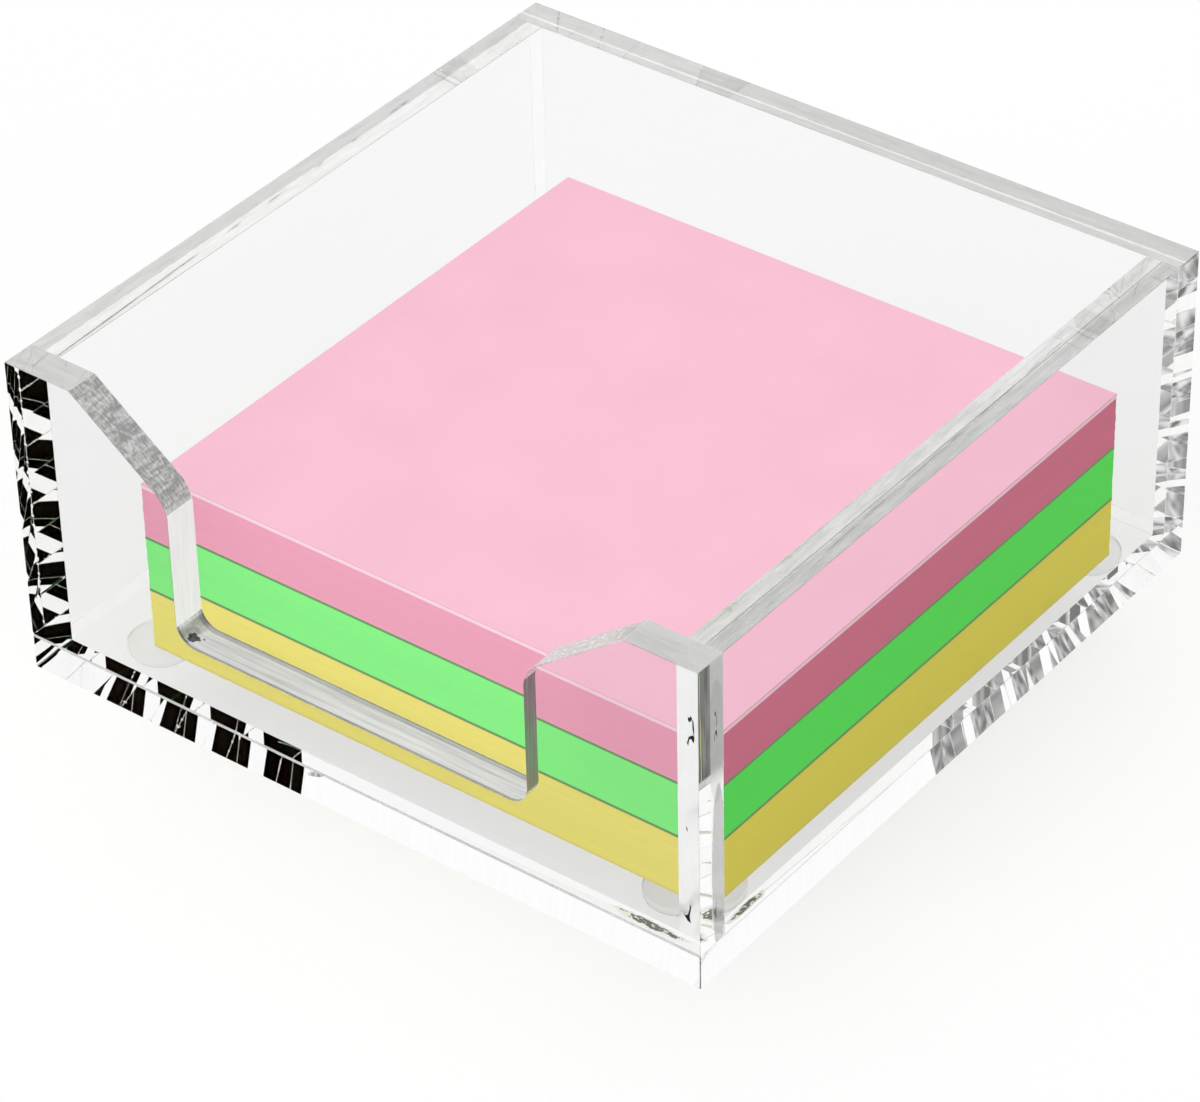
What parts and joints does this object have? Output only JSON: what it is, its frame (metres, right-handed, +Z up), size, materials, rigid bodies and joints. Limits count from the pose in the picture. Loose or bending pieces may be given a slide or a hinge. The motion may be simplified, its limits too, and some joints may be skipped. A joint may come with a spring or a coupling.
{
  "type": "memo pad holder",
  "caption": "Open-top clear acrylic memo pad holder with a thumb cut-out in its front, on stick-on feet, holding a stack of yellow, green and pink sticky-note pads.",
  "frame": {"origin": "on the table, under the middle of the box's footprint, at the level that the feet stand on", "axes": "+Z up; -Y is the front, which has the thumb cut-out; +X is to the right as seen from the front"},
  "size_m": [0.095, 0.0956, 0.0447],
  "materials": {
    "acrylic": "clear cast acrylic sheet, polished faces, finely sawn and flame-polished edges",
    "clear_foot": "clear soft polyurethane, glossy dome",
    "backing_card": "thin grey-green card, matt",
    "yellow_paper": "dyed-through pastel yellow paper, matt",
    "green_paper": "dyed-through bright green paper, matt",
    "pink_paper": "dyed-through pastel pink paper, matt"
  },
  "bodies": {
    "holder": {"base_plate": "acrylic", "front_wall": "acrylic", "back_wall": "acrylic", "left_wall": "acrylic", "right_wall": "acrylic", "foot_front_left": "clear_foot", "foot_front_right": "clear_foot", "foot_back_left": "clear_foot", "foot_back_right": "clear_foot"},
    "yellow_pad": {"yellow_backing": "backing_card", "yellow_notes": "yellow_paper"},
    "green_pad": {"green_backing": "backing_card", "green_notes": "green_paper"},
    "pink_pad": {"pink_backing": "backing_card", "pink_notes": "pink_paper"},
    "loose_note": {"top_note": "pink_paper"}
  },
  "joints": [
    {"name": "yellow_lift", "type": "slide", "parent": "holder", "child": "yellow_pad", "axis": [0, 0, 1], "range_m": [0, 0.045]},
    {"name": "green_lift", "type": "slide", "parent": "yellow_pad", "child": "green_pad", "axis": [0, 0, 1], "range_m": [0, 0.038]},
    {"name": "pink_lift", "type": "slide", "parent": "green_pad", "child": "pink_pad", "axis": [0, 0, 1], "range_m": [0, 0.03]},
    {"name": "top_note_peel", "type": "hinge", "parent": "pink_pad", "child": "loose_note", "pos_m": [0.0033, 0.0371, 0.0296], "axis": [-1, 0, 0], "range_deg": [0, 70]}
  ]
}
